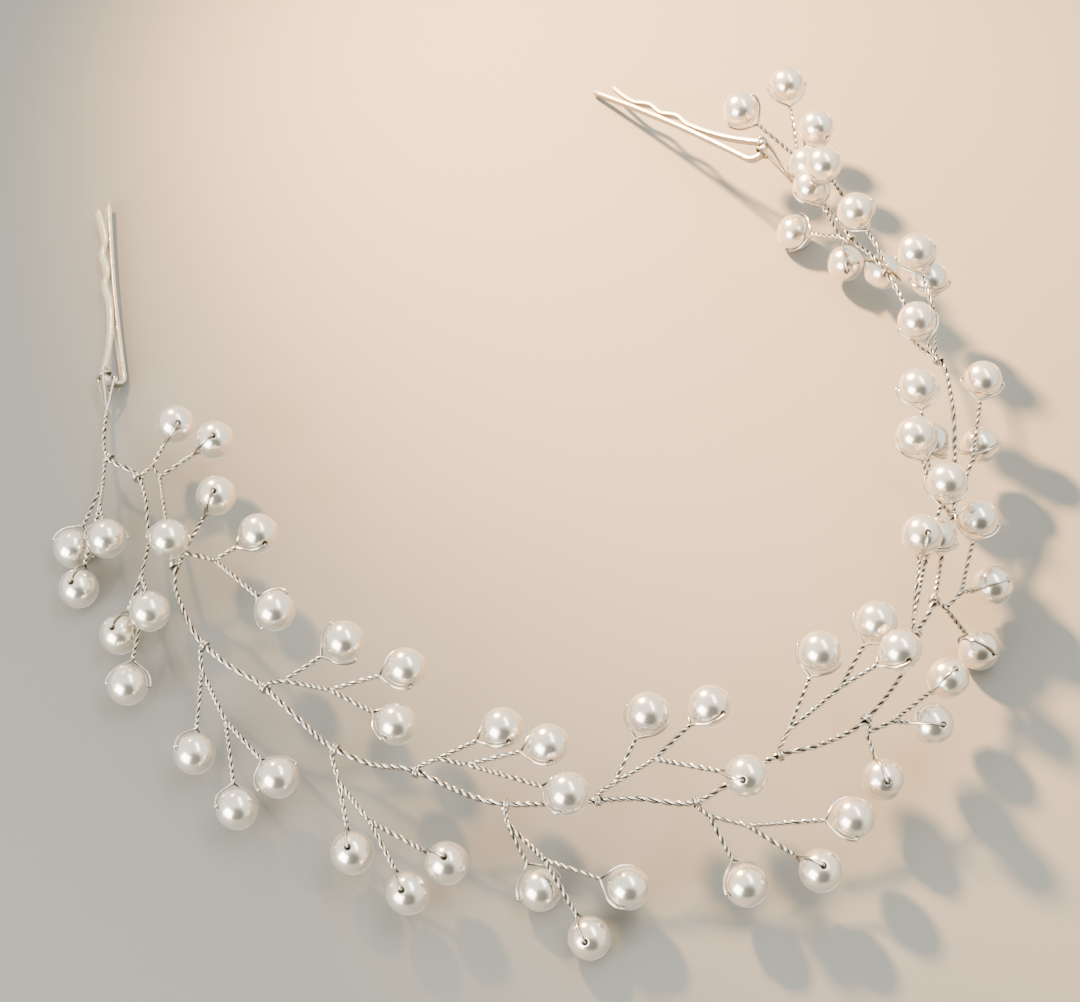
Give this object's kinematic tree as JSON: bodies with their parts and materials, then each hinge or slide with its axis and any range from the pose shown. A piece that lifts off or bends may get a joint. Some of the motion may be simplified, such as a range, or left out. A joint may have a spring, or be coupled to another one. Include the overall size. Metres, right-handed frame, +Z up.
{
  "type": "pearl hair vine headband",
  "caption": "Bridal hair vine lying in a C: a twisted silver wire stem with branching sprigs of round pearl beads and a bobby pin tied to each end.",
  "frame": {"origin": "on the table, under the middle of the outline", "axes": "+Z up from the table; +Y from the closed side of the C towards the bobby pins, away from the viewer; +X to the viewer's right"},
  "size_m": [0.198, 0.2213, 0.0295],
  "materials": {
    "twisted_wire": "bright silver-plated craft wire, twisted in pairs",
    "pin_metal": "pale silver lacquered spring steel, satin",
    "pearl": "ivory pearlescent coating, soft gloss"
  },
  "bodies": {
    "root": {"stem": "twisted_wire", "left_bobby_pin": "pin_metal", "right_bobby_pin": "pin_metal", "sprig_01_wire": "twisted_wire", "sprig_02_wire": "twisted_wire", "sprig_03_wire": "twisted_wire", "sprig_04_wire": "twisted_wire", "sprig_05_wire": "twisted_wire", "sprig_06_wire": "twisted_wire", "sprig_07_wire": "twisted_wire", "sprig_08_wire": "twisted_wire", "sprig_09_wire": "twisted_wire", "sprig_10_wire": "twisted_wire", "sprig_11_wire": "twisted_wire", "sprig_12_wire": "twisted_wire", "sprig_13_wire": "twisted_wire", "sprig_14_wire": "twisted_wire", "sprig_15_wire": "twisted_wire", "sprig_16_wire": "twisted_wire", "sprig_17_wire": "twisted_wire", "sprig_18_wire": "twisted_wire", "sprig_19_wire": "twisted_wire", "sprig_20_wire": "twisted_wire", "sprig_21_wire": "twisted_wire", "sprig_01_pearls": "pearl", "sprig_02_pearls": "pearl", "sprig_03_pearls": "pearl", "sprig_04_pearls": "pearl", "sprig_05_pearls": "pearl", "sprig_06_pearls": "pearl", "sprig_07_pearls": "pearl", "sprig_08_pearls": "pearl", "sprig_09_pearls": "pearl", "sprig_10_pearls": "pearl", "sprig_11_pearls": "pearl", "sprig_12_pearls": "pearl", "sprig_13_pearls": "pearl", "sprig_14_pearls": "pearl", "sprig_15_pearls": "pearl", "sprig_16_pearls": "pearl", "sprig_17_pearls": "pearl", "sprig_18_pearls": "pearl", "sprig_19_pearls": "pearl", "sprig_20_pearls": "pearl", "sprig_21_pearls": "pearl"}
  },
  "joints": []
}
